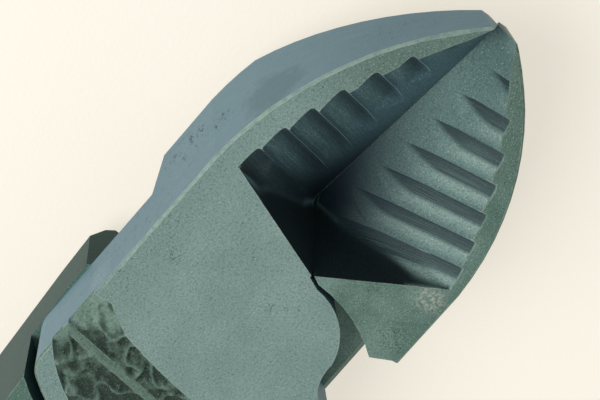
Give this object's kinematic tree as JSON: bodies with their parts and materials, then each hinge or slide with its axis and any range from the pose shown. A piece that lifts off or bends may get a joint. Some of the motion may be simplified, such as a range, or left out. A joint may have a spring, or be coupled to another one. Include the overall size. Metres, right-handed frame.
{
  "type": "side cutter",
  "caption": "Heavy lap-joint side cutter with fluted bevelled jaws and two-component grips, hinged on a forged axle.",
  "frame": {"origin": "on the pivot axis, in the back face of the joint", "axes": "+X towards the nose along the cutting edges, +Y towards the jaw of the front half, +Z out of the front face"},
  "size_m": [0.2, 0.0586, 0.0164],
  "materials": {
    "steel_front": "phosphated, fine blasted matt",
    "steel_back": "phosphated, fine blasted matt",
    "washer_steel": "ground, slightly darkened",
    "grip_core": "fine eroded grain",
    "grip_soft": "matt, ribbed"
  },
  "bodies": {
    "front_body": {"front_half": "steel_front", "pivot_washer": "washer_steel", "front_grip_core": "grip_core", "front_palm_pad": "grip_soft", "front_finger_pad": "grip_soft"},
    "back_body": {"back_half": "steel_back", "back_grip_core": "grip_core", "back_palm_pad": "grip_soft", "back_finger_pad": "grip_soft"}
  },
  "joints": [
    {"name": "pivot", "type": "hinge", "parent": "front_body", "child": "back_body", "pos_m": [0, 0, 0.0059], "axis": [0, 0, -1], "range_deg": [0, 32]}
  ]
}
